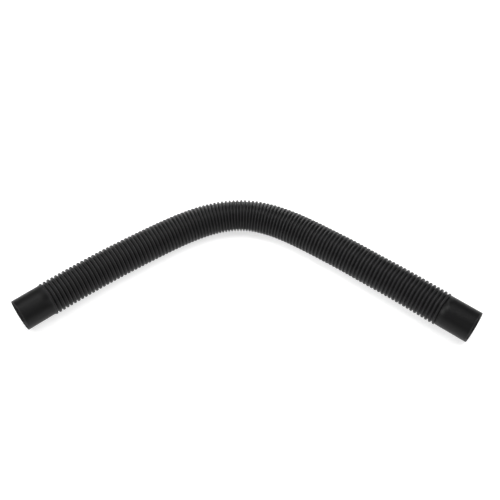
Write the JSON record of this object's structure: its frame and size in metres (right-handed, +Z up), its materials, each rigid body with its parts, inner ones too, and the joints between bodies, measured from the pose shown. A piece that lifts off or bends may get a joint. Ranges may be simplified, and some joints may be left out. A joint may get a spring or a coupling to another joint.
{
  "type": "corrugated air hose",
  "caption": "Ribbed round air hose of black plastic with a plain cuff at each end, lying bent once in a shallow V.",
  "frame": {"origin": "on the surface that the hose lies on, under the middle of its box", "axes": "+X from the left end to the right end, +Y towards the outside of the bend, +Z up"},
  "size_m": [1.3267, 0.4971, 0.1],
  "materials": {
    "black_plastic": "blow-moulded flexible plastic with a soft sheen"
  },
  "bodies": {
    "root": {"hose": "black_plastic"}
  },
  "joints": []
}
